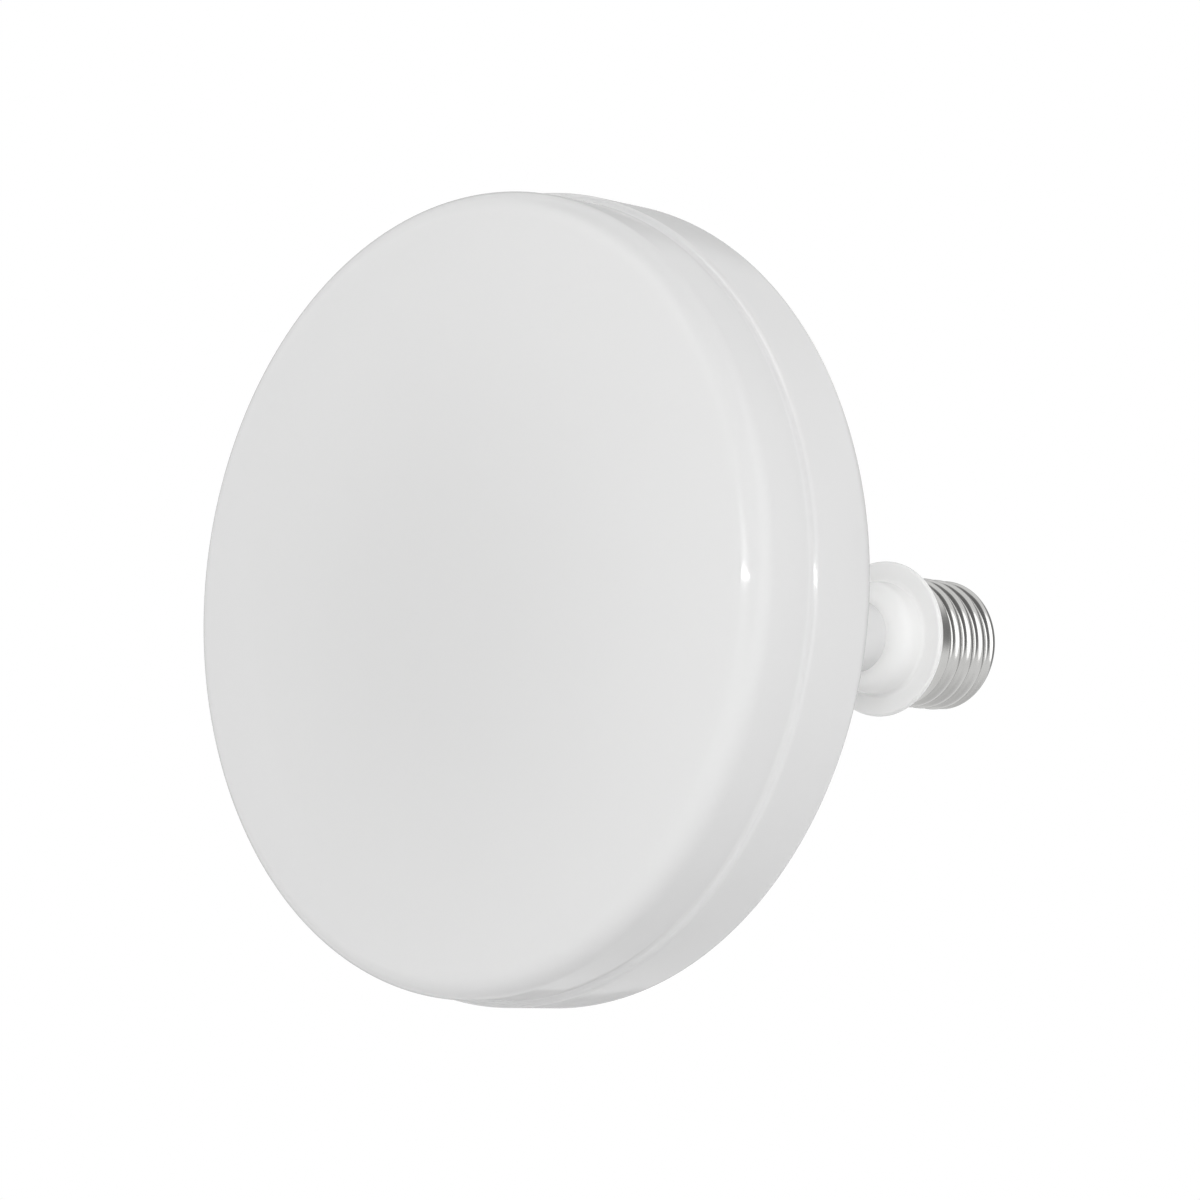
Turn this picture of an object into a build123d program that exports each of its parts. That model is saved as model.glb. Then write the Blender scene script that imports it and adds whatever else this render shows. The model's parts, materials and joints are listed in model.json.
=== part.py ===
from build123d import *
import os
from math import asin, cos, radians, sin, tan

# Foldable LED bulb: a flat round lamp head on a hinged neck with a 27 mm Edison screw cap.
# Units are millimetres. The lamp's axis is Y, the lit face looks to -Y and the cap points to +Y.
# Z is up. The origin is on the axis, on the rear face of the collar's flange, where the cap seats.
# Stations along Y are worked out from the cap seat forwards.

# Screw cap
crest_r = 13.1
thread_depth = 0.9
thread_pitch = 3.629
thread_crest_width = 1.1
thread_base_width = 3.0
thread_sink = 0.25
skirt_step = 0.18
skirt_length = 2.5
thread_length = 16.1
nose_length = 2.4
nose_r = 9.9
shell_wall = 0.45
seat_gap = 0.1
insulator_length = 3.6
insulator_tip_r = 6.0
insulator_flange_t = 1.6
contact_r = 5.2
contact_height = 2.0
contact_round = 1.2
contact_shank_r = 2.0
contact_shank_length = 7.0

# Collar
flange_overhang = 4.1
flange_t = 1.4
flange_round = 0.5
cup_overhang = 4.3
cup_depth = 6.3
cup_taper = 0.5
cup_round = 3.9
cup_fillet = 0.7
stub_length = 9.0
stub_floor = 4.0
stub_bore_r = 3.0

# Neck and hinge
neck_r = 7.1
neck_step = 1.1
neck_bore_r = 4.0
neck_round = 1.0
arm_reach = 44.9
spigot_gap = 0.1
tongue_width = 12.0
cheek_t = 2.8
slot_depth = 8.0
ear_r = 8.5
ear_t = 5.0
ear_clearance = 1.1
ear_fillet = 1.5
ear_round = 0.8
washer_r = 6.0
washer_t = 0.5
washer_play = 0.05
hinge_screw_r = 2.0
hinge_head_r = 3.8
hinge_head_t = 2.2
head_sink = 0.2
head_gap = 0.3
shank_gap = 0.3
running_gap = 0.05
nut_flats = 7.0
nut_t = 2.2
nut_pocket = 1.4
nut_gap = 0.1

# Lamp head
head_reach = 58.5
lip_r = 73.8
lip_round = 1.1
side_depth = 15.3
rear_round = 3.0
housing_wall = 2.0
ledge_width = 2.8
dish_rise = 8.7
seat_r = 32.0
seat_t = 2.5
boss_r = 3.2
boss_circle_r = 50.0

# Diffuser
diffuser_step = 1.1
diffuser_wall = 1.8
diffuser_draft = 1.0
shoulder_depth = 12.7
shoulder_round = 4.8
crown = 5.3
rim_chamfer = 0.15
skirt_gap = 0.3
skirt_seat_gap = 0.5

# Turret
turret_flange_r = 31.5
turret_flange_t = 5.0
turret_base_r = 25.0
turret_top_r = 20.5
fold_clearance = 1.5
turret_round = 2.0
turret_top_t = 3.0
turret_spigot_wall = 2.1
turret_spigot_length = 6.5
turret_bore_r = 18.3
turret_bore_top_r = 17.0
turret_gap = 0.2
turret_screw_count = 4
turret_screw_r = 1.5
turret_screw_grip = 4.0

# Light-emitting board and its heat sink
sink_t = 1.0
sink_gap = 0.4
sink_front = 6.0
board_gap = 3.7
board_t = 1.0
chip_size = (2.8, 3.5, 0.7)
chip_counts = (12, 20, 30)
chip_ring_step = 18.0
chip_screw_gap = 10.0
board_screw_count = 3
board_screw_r = 1.45
board_screw_grip = 6.0
lead_hole_r = 4.0
screw_head_factor = 1.9
screw_head_t = 1.8
screw_clearance = 0.25
screw_tip_gap = 0.25

# Driver
driver_board_t = 1.6
driver_inset = 1.2
driver_ledge = 1.2
driver_gap = 0.2
capacitor_r = 5.0
capacitor_height = 14.0
capacitor_x = 11.0
transformer_size = (12.0, 11.0, 9.0)
transformer_z = 10.5
rectifier_size = (6.5, 2.6, 4.8)
rectifier_x = 8.5
chip_case_size = (5.0, 1.6, 4.0)
chip_case_x = 3.0
fuse_r = 1.6
fuse_length = 8.0
fuse_x = 1.5
component_z = -10.0

# Leads
lead_r = 2.1
lead_tail = 8.0
core_r = 0.8
core_spacing = 2.1
core_turn = 3.0
led_lead_r = 0.6
grommet_flange_r = 4.6
grommet_flange_t = 1.0
grommet_neck_r = 3.4
grommet_gap = 0.1

# Stations worked out from the sizes above
flange_front = -flange_t
cup_front = flange_front - cup_depth
spigot_floor = stub_length - stub_floor
pivot = flange_front - arm_reach
lip = pivot - head_reach
thread_end = skirt_length + thread_length
shell_end = thread_end + nose_length
insulator_end = shell_end + insulator_length
contact_end = insulator_end + contact_height
sink_face = lip + sink_front
sink_back = sink_face + sink_t
board_front = sink_face - board_t
dish_rim = lip + side_depth
seat = dish_rim + dish_rise
seat_front = seat - seat_t
turret_top = pivot - neck_r - fold_clearance
turret_roof = turret_top - turret_top_t
spigot_end = seat - turret_spigot_length
driver_front = spigot_end + driver_inset
driver_back = driver_front + driver_board_t

root_r = crest_r - thread_depth
skirt_r = crest_r - skirt_step
cup_r = neck_r + cup_overhang
flange_r = cup_r + flange_overhang
spigot_bore_r = neck_r - neck_step
shell_bore_r = root_r - shell_wall
wall_inner_r = lip_r - housing_wall
cover_skirt_r = wall_inner_r - skirt_gap
board_r = cover_skirt_r - diffuser_wall - board_gap
board_screw_head_r = board_screw_r * screw_head_factor
chip_ring_middle = boss_circle_r - chip_screw_gap
chip_ring_inner = chip_ring_middle - chip_ring_step
chip_ring_outer = (boss_circle_r + board_screw_head_r + board_r) / 2
driver_board_r = turret_bore_r + driver_ledge
driver_pocket_r = driver_board_r + driver_gap
turret_spigot_r = driver_pocket_r + turret_spigot_wall
turret_hole_r = turret_spigot_r + turret_gap
turret_screw_circle_r = (turret_hole_r + turret_flange_r) / 2
tongue_half = tongue_width / 2
ear_inside = tongue_half + washer_t + washer_play
ear_outside = ear_inside + ear_t
counterbore = hinge_head_t + head_sink
head_seat = ear_outside - counterbore
nut_seat = tongue_half - cheek_t + nut_pocket
nut_inside = nut_seat - nut_t


def turned(*corners):
    """A solid of revolution about the lamp's axis, from corners (radius, station, rounding)."""
    spots = [corner[:2] for corner in corners]
    rounds = [corner[2] if len(corner) > 2 else 0 for corner in corners]
    outline = FilletPolyline(*spots, radius=rounds, close=True)
    return revolve(make_face(outline), Axis.Y)


def rod(radius, start, end, x=0, z=0):
    """A plain round bar along the lamp's axis, from one station to another."""
    plane = Plane(origin=(x, start, z), x_dir=(1, 0, 0), z_dir=(0, 1, 0))
    return extrude(plane * Circle(radius), end - start)


def cross_rod(radius, start, end, y, z=0):
    """A plain round bar across the lamp, along X."""
    plane = Plane(origin=(start, y, z), x_dir=(0, 1, 0), z_dir=(1, 0, 0))
    return extrude(plane * Circle(radius), end - start)


def block(size, x, y, z):
    """A block of size (x, y, z) that stands on the station y and reaches back from it."""
    return Pos(x, y + size[1] / 2, z) * Box(*size)


def round_about(count, radius, offset=0):
    """Places on a circle round the lamp's axis, as (x, z)."""
    turns = [radians(offset + 360 * i / count) for i in range(count)]
    return [(radius * cos(turn), radius * sin(turn)) for turn in turns]


def save(name, shape):
    export_step(shape, f"parts/{name}.step")


# Screw cap

def make_screw_shell():
    """A drawn cup with a plain skirt, a helical knuckle thread and a drawn-in nose."""
    helix_start = skirt_length / 2
    helix_end = thread_end + nose_length / 2
    helix = Helix(
        thread_pitch,
        helix_end - helix_start,
        root_r,
        center=(0, helix_start, 0),
        direction=(0, 1, 0),
    )
    start = helix @ 0
    outward = Vector(start.X, 0, start.Z)
    plane = Plane(origin=start, x_dir=outward, z_dir=helix % 0)
    section = plane * make_face(
        Polyline(
            (-thread_sink, -thread_base_width / 2),
            (-thread_sink, thread_base_width / 2),
            (thread_depth, thread_crest_width / 2),
            (thread_depth, -thread_crest_width / 2),
            close=True,
        )
    )
    ridge = sweep(section, path=helix, is_frenet=True)
    threaded = rod(root_r, -thread_pitch, shell_end + thread_pitch) + ridge
    clear_r = crest_r + thread_sink
    skirt = turned(
        (0, 0),
        (skirt_r, 0),
        (skirt_r, skirt_length),
        (root_r, skirt_length + skirt_r - root_r),
        (0, skirt_length + skirt_r - root_r),
    )
    envelope = turned(
        (0, 0),
        (skirt_r, 0),
        (skirt_r, skirt_length),
        (clear_r, skirt_length + clear_r - skirt_r),
        (clear_r, thread_end - thread_depth),
        (nose_r, shell_end),
        (0, shell_end),
    )
    bore = turned(
        (0, -shell_wall),
        (shell_bore_r, -shell_wall),
        (shell_bore_r, thread_end - shell_wall),
        (nose_r - shell_wall, shell_end - shell_wall),
        (nose_r - shell_wall, shell_end + shell_wall),
        (0, shell_end + shell_wall),
    )
    return (threaded & envelope) + skirt - bore


def make_cap_insulator():
    """The moulded ring that fills the shell's nose and carries the tip contact."""
    flange = shell_bore_r - seat_gap
    throat = nose_r - shell_wall - seat_gap
    flange_end = thread_end - shell_wall - seat_gap
    return turned(
        (contact_shank_r, flange_end - insulator_flange_t),
        (flange, flange_end - insulator_flange_t),
        (flange, flange_end),
        (throat, flange_end + flange - throat),
        (throat, shell_end),
        (insulator_tip_r, insulator_end),
        (contact_shank_r, insulator_end),
    )


def make_centre_contact():
    """The tip contact, a button with a rivet shank through the insulator."""
    return turned(
        (0, insulator_end - contact_shank_length),
        (contact_shank_r, insulator_end - contact_shank_length),
        (contact_shank_r, insulator_end),
        (contact_r, insulator_end),
        (contact_r, contact_end, contact_round),
        (0, contact_end),
    )


def make_cap_collar():
    """The collar: a rounded cup round the neck's end, a thin flange, and a stub inside the shell."""
    stub_r = shell_bore_r - seat_gap
    return turned(
        (spigot_bore_r, cup_front),
        (cup_r - cup_taper, cup_front, cup_round),
        (cup_r, flange_front, cup_fillet),
        (flange_r, flange_front, flange_round),
        (flange_r, 0, flange_round),
        (stub_r, 0),
        (stub_r, stub_length),
        (stub_bore_r, stub_length),
        (stub_bore_r, spigot_floor),
        (spigot_bore_r, spigot_floor),
    )


# Neck and hinge

def make_neck_arm():
    """The neck: a tube flattened to a slotted tongue, which turns between the turret's ears."""
    shoulder = pivot + ear_r + ear_clearance
    tube = turned((0, shoulder), (neck_r, shoulder, neck_round), (neck_r, cup_front), (0, cup_front))
    tube += rod(spigot_bore_r - spigot_gap, cup_front, spigot_floor)
    tongue = rod(neck_r, pivot, shoulder + neck_round) + cross_rod(neck_r, -neck_r, neck_r, pivot)
    tongue &= Pos(0, pivot, 0) * Box(tongue_width, 4 * neck_r, 2 * neck_r)
    slot_width = tongue_width - 2 * cheek_t
    slot_start = pivot - neck_r
    slot_end = pivot + slot_depth
    slot = Box(slot_width, slot_end - slot_start, 3 * neck_r)
    slot = Pos(0, (slot_start + slot_end) / 2, 0) * slot
    arm = tube + tongue - slot - rod(neck_bore_r, pivot, spigot_floor)
    arm -= cross_rod(hinge_screw_r + shank_gap, -tongue_half, tongue_half, pivot)
    pocket = hexagon(nut_flats / 2 + nut_gap, nut_seat, nut_seat - nut_pocket)
    return arm - pocket - mirror(pocket, Plane.YZ)


def hexagon(apothem, start, end):
    """A six-sided bar across the lamp at the fold axis."""
    plane = Plane(origin=(start, pivot, 0), x_dir=(0, 1, 0), z_dir=(1, 0, 0))
    outline = RegularPolygon(apothem, 6, major_radius=False)
    return extrude(plane * outline, end - start)


def both_sides(shape):
    """The shape and its mirror image on the other side of the lamp, as separate solids."""
    return Compound([shape, mirror(shape, Plane.YZ)])


def make_hinge_screws():
    """The two pivot screws: a sunk round head and a plain shank up to the nut's inner face."""
    head = cross_rod(hinge_head_r, head_seat, head_seat + hinge_head_t, pivot)
    shank = cross_rod(hinge_screw_r, nut_inside, head_seat, pivot)
    return both_sides(head + shank)


def make_hinge_nuts():
    nut = hexagon(nut_flats / 2, nut_inside, nut_seat)
    nut -= cross_rod(hinge_screw_r + running_gap, nut_inside, nut_seat, pivot)
    return both_sides(nut)


def make_hinge_washers():
    washer = cross_rod(washer_r, tongue_half, tongue_half + washer_t, pivot)
    washer -= cross_rod(hinge_screw_r + shank_gap, tongue_half, tongue_half + washer_t, pivot)
    return both_sides(washer)


def make_hinge_turret():
    """The hub behind the dish: a flange, a hollow cone, a spigot and the two hinge ears."""
    flange_back = seat + turret_flange_t
    body = turned(
        (driver_pocket_r, spigot_end),
        (turret_spigot_r, spigot_end),
        (turret_spigot_r, seat),
        (turret_flange_r, seat),
        (turret_flange_r, flange_back, turret_round),
        (turret_base_r, flange_back, turret_round),
        (turret_top_r, turret_top, turret_round),
        (0, turret_top),
        (0, turret_roof),
        (turret_bore_top_r, turret_roof),
        (turret_bore_r, driver_back),
        (driver_pocket_r, driver_back),
    )
    ear_plane = Plane(origin=(ear_inside, 0, 0), x_dir=(0, 1, 0), z_dir=(1, 0, 0))
    ear_foot = (turret_roof + turret_top) / 2
    ear_outline = Pos((ear_foot + pivot) / 2, 0) * Rectangle(pivot - ear_foot, 2 * ear_r)
    ear_outline += Pos(pivot, 0) * Circle(ear_r)
    ear = extrude(ear_plane * ear_outline, ear_t)
    ear = fillet(ear.faces().sort_by(Axis.X)[-1].edges(), ear_round)
    ear -= cross_rod(hinge_screw_r + running_gap, ear_inside, ear_outside, pivot)
    ear -= cross_rod(hinge_head_r + head_gap, head_seat, ear_outside, pivot)
    body += ear + mirror(ear, Plane.YZ)
    at_top = body.edges().filter_by_position(Axis.Y, turret_top - running_gap, turret_top + running_gap)
    body = fillet(at_top.filter_by(lambda edge: not edge.is_closed), ear_fillet)
    body -= rod(grommet_neck_r + grommet_gap, turret_roof, turret_top)
    for x, z in round_about(turret_screw_count, turret_screw_circle_r, 45):
        body -= rod(turret_screw_r + running_gap, seat, seat + turret_screw_grip, x, z)
    return body


# Lamp head

def make_rear_housing():
    """The moulded dish: side wall with a rounded lip, shallow cone, seat ring and screw bosses."""
    ledge_r = wall_inner_r - ledge_width
    inner_rim = dish_rim - housing_wall
    housing = turned(
        (wall_inner_r, lip),
        (lip_r, lip, lip_round),
        (lip_r, dish_rim, rear_round),
        (seat_r, seat),
        (turret_hole_r, seat),
        (turret_hole_r, seat_front),
        (seat_r, seat_front),
        (ledge_r, inner_rim),
        (ledge_r, sink_back),
        (wall_inner_r, sink_back),
    )
    slope = (seat_front - inner_rim) / (ledge_r - seat_r)
    boss_foot = inner_rim + slope * (ledge_r - boss_circle_r - boss_r)
    for x, z in round_about(board_screw_count, boss_circle_r, 90):
        housing += rod(boss_r, sink_back, boss_foot + housing_wall / 2, x, z)
    for x, z in round_about(board_screw_count, boss_circle_r, 90):
        housing -= rod(board_screw_r + running_gap, sink_back, sink_back + board_screw_grip, x, z)
    for x, z in round_about(turret_screw_count, turret_screw_circle_r, 45):
        housing -= rod(turret_screw_r + screw_clearance, seat_front, seat, x, z)
    return housing


def hoops(shape):
    """The closed circular edges of a turned solid, from the front to the back."""
    circles = shape.edges().filter_by(GeomType.CIRCLE)
    return circles.filter_by(lambda edge: edge.is_closed).sort_by(Axis.Y)


def dome(rim_r, rim, shoulder, rise, rounding):
    """A drafted cup with a crowned face and a rounded shoulder, solid, open end at the rim."""
    edge_r = rim_r - (rim - shoulder) * tan(radians(diffuser_draft))
    apex = shoulder - rise
    face_r = (edge_r**2 + rise**2) / (2 * rise)
    half_turn = asin(edge_r / face_r) / 2
    halfway = (face_r * sin(half_turn), apex + face_r * (1 - cos(half_turn)))
    face = ThreePointArc((edge_r, shoulder), halfway, (0, apex))
    sides = Polyline((0, apex), (0, rim), (rim_r, rim), (edge_r, shoulder))
    cup = revolve(make_face([face, sides]), Axis.Y)
    return fillet(hoops(cup)[0], rounding)


def make_diffuser():
    """The opal cover: a thin crowned cup that seats on the lip, with a skirt inside the wall."""
    rim_r = lip_r - diffuser_step
    shoulder = lip - shoulder_depth
    inner_r = rim_r - diffuser_wall
    cover = dome(rim_r, lip, shoulder, crown, shoulder_round)
    cover = chamfer(hoops(cover)[-1], rim_chamfer)
    cover -= dome(inner_r, lip, shoulder + diffuser_wall, crown, shoulder_round - diffuser_wall)
    skirt_end = sink_face - skirt_seat_gap
    skirt_inner_r = cover_skirt_r - diffuser_wall
    skirt = turned(
        (skirt_inner_r, lip - diffuser_wall),
        (cover_skirt_r, lip - diffuser_wall),
        (cover_skirt_r, skirt_end),
        (skirt_inner_r, skirt_end),
    )
    return cover + skirt


def make_heat_sink():
    plate = rod(wall_inner_r - sink_gap, sink_face, sink_back)
    plate -= rod(lead_hole_r, sink_face, sink_back)
    for x, z in round_about(board_screw_count, boss_circle_r, 90):
        plate -= rod(board_screw_r + screw_clearance, sink_face, sink_back, x, z)
    return plate


def make_led_board():
    board = rod(board_r, board_front, sink_face)
    for x, z in round_about(board_screw_count, boss_circle_r, 90):
        board -= rod(board_screw_r + screw_clearance, board_front, sink_face, x, z)
    return board


def make_led_chips():
    """The light-emitting chips, in rings, each turned to face its ring's centre."""
    width, length, height = chip_size
    chip = Pos(0, board_front - height / 2, 0) * Box(length, height, width)
    chips = []
    rings = (chip_ring_inner, chip_ring_middle, chip_ring_outer)
    for ring_r, count in zip(rings, chip_counts):
        for i in range(count):
            chips.append(Rot(0, 360 * i / count, 0) * Pos(0, 0, ring_r) * chip)
    return Compound(chips)


def screw(radius, seat_at, tip, x, z):
    """A screw along the axis with its round head in front of the station where it seats."""
    head = rod(radius * screw_head_factor, seat_at - screw_head_t, seat_at, x, z)
    return head + rod(radius, seat_at, tip, x, z)


def make_board_screws():
    tip = sink_back + board_screw_grip - screw_tip_gap
    places = round_about(board_screw_count, boss_circle_r, 90)
    return Compound([screw(board_screw_r, board_front, tip, x, z) for x, z in places])


def make_turret_screws():
    tip = seat + turret_screw_grip - screw_tip_gap
    places = round_about(turret_screw_count, turret_screw_circle_r, 45)
    return Compound([screw(turret_screw_r, seat_front, tip, x, z) for x, z in places])


# Driver, in the turret's hollow

def make_driver_board():
    return rod(driver_board_r, driver_front, driver_back)


def make_capacitors():
    top = driver_back + capacitor_height
    return both_sides(rod(capacitor_r, driver_back, top, capacitor_x))


def make_transformer():
    """A wound core: two flanges of ferrite with the winding drawn in between them."""
    width, height, depth = transformer_size
    core = block(transformer_size, 0, driver_back, transformer_z)
    waist = Box(width / 4, height / 2, depth)
    for side in (-1, 1):
        core -= Pos(side * width / 2, driver_back + height / 2, transformer_z) * waist
    return core


def make_rectifier():
    return block(rectifier_size, rectifier_x, driver_back, component_z)


def make_driver_chip():
    return block(chip_case_size, -chip_case_x, driver_back, component_z)


def make_fuse_resistor():
    return rod(fuse_r, driver_back, driver_back + fuse_length, fuse_x + fuse_r, component_z)


# Leads

def make_supply_lead():
    """The round two-core lead, straight along the axis from the driver board to the collar."""
    return rod(lead_r, driver_back, -lead_tail)


def make_live_wire():
    return rod(core_r, -lead_tail, insulator_end - contact_shank_length, -core_spacing / 2)


def make_neutral_wire():
    """The core that turns outward past the stub and ends on the shell's inside."""
    x = core_spacing / 2
    turn_at = stub_length + core_turn
    route = FilletPolyline(
        (x, -lead_tail, 0),
        (x, turn_at, 0),
        (shell_bore_r - core_r, turn_at + core_r, 0),
        radius=core_turn,
    )
    plane = Plane(origin=route @ 0, z_dir=route % 0)
    return sweep(plane * Circle(core_r), path=route)


def make_led_leads():
    return both_sides(rod(led_lead_r, sink_face, driver_front, core_spacing / 2))


def make_lead_grommet():
    """The bush in the turret's top: a flange outside and a neck in the hole."""
    return turned(
        (lead_r + grommet_gap, turret_roof),
        (grommet_neck_r, turret_roof),
        (grommet_neck_r, turret_top),
        (grommet_flange_r, turret_top),
        (grommet_flange_r, turret_top + grommet_flange_t),
        (lead_r + grommet_gap, turret_top + grommet_flange_t),
    )


os.makedirs("parts", exist_ok=True)
save("screw_shell", make_screw_shell())
save("cap_insulator", make_cap_insulator())
save("centre_contact", make_centre_contact())
save("cap_collar", make_cap_collar())
save("neck_arm", make_neck_arm())
save("hinge_screws", make_hinge_screws())
save("hinge_nuts", make_hinge_nuts())
save("hinge_washers", make_hinge_washers())
save("hinge_turret", make_hinge_turret())
save("turret_screws", make_turret_screws())
save("rear_housing", make_rear_housing())
save("diffuser", make_diffuser())
save("heat_sink", make_heat_sink())
save("led_board", make_led_board())
save("led_chips", make_led_chips())
save("board_screws", make_board_screws())
save("driver_board", make_driver_board())
save("capacitors", make_capacitors())
save("transformer", make_transformer())
save("rectifier", make_rectifier())
save("driver_chip", make_driver_chip())
save("fuse_resistor", make_fuse_resistor())
save("supply_lead", make_supply_lead())
save("live_wire", make_live_wire())
save("neutral_wire", make_neutral_wire())
save("led_leads", make_led_leads())
save("lead_grommet", make_lead_grommet())
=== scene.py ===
import json
import math

import bmesh
import bpy
from mathutils import Matrix, Vector


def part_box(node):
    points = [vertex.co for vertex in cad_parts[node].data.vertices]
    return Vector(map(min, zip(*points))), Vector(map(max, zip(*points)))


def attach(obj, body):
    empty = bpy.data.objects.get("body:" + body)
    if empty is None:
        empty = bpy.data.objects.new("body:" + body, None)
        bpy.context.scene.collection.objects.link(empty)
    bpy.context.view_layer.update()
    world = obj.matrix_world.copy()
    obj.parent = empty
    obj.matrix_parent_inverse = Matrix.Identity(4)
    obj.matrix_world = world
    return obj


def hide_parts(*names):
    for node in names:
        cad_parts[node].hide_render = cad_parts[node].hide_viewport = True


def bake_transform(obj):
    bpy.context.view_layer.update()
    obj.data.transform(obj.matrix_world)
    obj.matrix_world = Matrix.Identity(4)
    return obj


# A flat round lamp head on a hinged neck with a screw cap.
# Metres throughout. The lamp's axis is Y, the lit face looks to -Y, the cap points to +Y and Z is up.
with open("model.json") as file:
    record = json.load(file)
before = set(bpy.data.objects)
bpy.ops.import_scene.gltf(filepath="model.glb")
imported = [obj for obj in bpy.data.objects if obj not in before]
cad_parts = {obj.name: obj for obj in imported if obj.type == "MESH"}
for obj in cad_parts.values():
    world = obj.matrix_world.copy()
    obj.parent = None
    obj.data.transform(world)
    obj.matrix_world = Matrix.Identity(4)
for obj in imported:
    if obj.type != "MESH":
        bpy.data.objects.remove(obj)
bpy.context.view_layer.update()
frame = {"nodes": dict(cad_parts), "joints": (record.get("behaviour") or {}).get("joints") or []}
nodes = frame["nodes"]


# Camera
# A long lens, level with the lamp's lower edge and looking a little up at it, 44 degrees round
# from the lit face towards the cap. Its axis passes just to the right of the middle of the lip.
view_azimuth = 44.33
view_elevation = -6.54
view_distance = 0.7126
view_right = 0.01657
view_up = -0.00042
view_roll = 0.23
lens_length = 118.25
sensor_width = 36.0
lip_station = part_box("rear_housing")[0].y
lip_centre = Vector((0, lip_station, 0))


def direction(azimuth, elevation):
    """The way from the lamp to a place at that azimuth, counted from -Y towards +X, and elevation."""
    turn = math.radians(azimuth)
    rise = math.radians(elevation)
    level = math.cos(rise)
    return Vector((math.sin(turn) * level, -math.cos(turn) * level, math.sin(rise)))


back = direction(view_azimuth, view_elevation)
level_right = Vector((0, 0, 1)).cross(back).normalized()
right = Matrix.Rotation(math.radians(-view_roll), 3, back) @ level_right
up = back.cross(right)
camera_data = bpy.data.cameras.new("photo_camera")
camera_data.lens = lens_length
camera_data.sensor_width = sensor_width
camera = bpy.data.objects.new("photo_camera", camera_data)
camera.matrix_world = Matrix((right, up, back)).transposed().to_4x4()
camera.location = lip_centre + right * view_right + up * view_up + back * view_distance
bpy.context.scene.collection.objects.link(camera)
bpy.context.scene.camera = camera
bpy.context.scene.view_settings.view_transform = "Standard"


# Surround
# A white studio: the surround is plain white to the eye and in reflections, and lights the lamp
# from all sides at a slightly lower level, less from above.
ambient_level = 0.808
ambient_above = 0.38
above_start = 0.35
above_end = 0.95
surround_white = 1.0
world = bpy.data.worlds.new("white_studio")
bpy.context.scene.world = world
world.use_nodes = True
world_tree = world.node_tree
world_tree.nodes.clear()


def seen_directly(tree):
    """The output that is 1 for camera, glossy and transmission rays, and 0 for diffuse light."""
    path = tree.nodes.new("ShaderNodeLightPath")
    first = tree.nodes.new("ShaderNodeMath")
    first.operation = "ADD"
    tree.links.new(path.outputs["Is Camera Ray"], first.inputs[0])
    tree.links.new(path.outputs["Is Glossy Ray"], first.inputs[1])
    both = tree.nodes.new("ShaderNodeMath")
    both.operation = "ADD"
    both.use_clamp = True
    tree.links.new(first.outputs[0], both.inputs[0])
    tree.links.new(path.outputs["Is Transmission Ray"], both.inputs[1])
    return both.outputs[0]


ambient = world_tree.nodes.new("ShaderNodeBackground")
ambient.inputs["Color"].default_value = (1, 1, 1, 1)
ambient_way = world_tree.nodes.new("ShaderNodeTexCoord")
ambient_split = world_tree.nodes.new("ShaderNodeSeparateXYZ")
ambient_range = world_tree.nodes.new("ShaderNodeMapRange")
ambient_range.interpolation_type = "SMOOTHSTEP"
ambient_range.inputs["From Min"].default_value = above_start
ambient_range.inputs["From Max"].default_value = above_end
ambient_range.inputs["To Min"].default_value = ambient_level
ambient_range.inputs["To Max"].default_value = ambient_above
world_tree.links.new(ambient_way.outputs["Generated"], ambient_split.inputs[0])
world_tree.links.new(ambient_split.outputs["Z"], ambient_range.inputs["Value"])
world_tree.links.new(ambient_range.outputs["Result"], ambient.inputs["Strength"])
plain_white = world_tree.nodes.new("ShaderNodeBackground")
plain_white.inputs["Strength"].default_value = surround_white
plain_white.inputs["Color"].default_value = (1, 1, 1, 1)
surround_mix = world_tree.nodes.new("ShaderNodeMixShader")
world_output = world_tree.nodes.new("ShaderNodeOutputWorld")
world_tree.links.new(seen_directly(world_tree), surround_mix.inputs[0])
world_tree.links.new(ambient.outputs[0], surround_mix.inputs[1])
world_tree.links.new(plain_white.outputs[0], surround_mix.inputs[2])
world_tree.links.new(surround_mix.outputs[0], world_output.inputs["Surface"])


# Floor
# A round white sheet well below the lamp, which keeps a soft shadow under it and fades into the
# white surround towards its edge.
floor_level = -0.62
floor_radius = 1.3
floor_fade_start = 0.35
floor_fade_end = 1.0
floor_white = (0.76, 0.76, 0.76, 1)
floor_roughness = 0.8
floor_gloss = 0.1
floor_steps = 96


def new_piece(name, corners, faces, smooth=True):
    """A mesh object from corners and faces, linked to the scene."""
    mesh = bpy.data.meshes.new(name)
    mesh.from_pydata(corners, [], faces)
    mesh.validate()
    surface = bmesh.new()
    surface.from_mesh(mesh)
    bmesh.ops.recalc_face_normals(surface, faces=surface.faces)
    surface.to_mesh(mesh)
    surface.free()
    for polygon in mesh.polygons:
        polygon.use_smooth = smooth
    piece = bpy.data.objects.new(name, mesh)
    bpy.context.scene.collection.objects.link(piece)
    return piece


floor_corners = []
for step in range(floor_steps):
    turn = 2 * math.pi * step / floor_steps
    floor_corners.append((floor_radius * math.cos(turn), floor_radius * math.sin(turn), floor_level))
floor = new_piece("floor", floor_corners, [list(range(floor_steps))])
floor_finish = bpy.data.materials.new("floor_sheet")
floor_finish.use_nodes = True
floor_tree = floor_finish.node_tree
floor_shader = floor_tree.nodes["Principled BSDF"]
floor_shader.inputs["Base Color"].default_value = floor_white
floor_shader.inputs["Roughness"].default_value = floor_roughness
floor_shader.inputs["Specular IOR Level"].default_value = floor_gloss
floor_place = floor_tree.nodes.new("ShaderNodeTexCoord")
floor_distance = floor_tree.nodes.new("ShaderNodeVectorMath")
floor_distance.operation = "LENGTH"
floor_fade = floor_tree.nodes.new("ShaderNodeMapRange")
floor_fade.interpolation_type = "SMOOTHSTEP"
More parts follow.
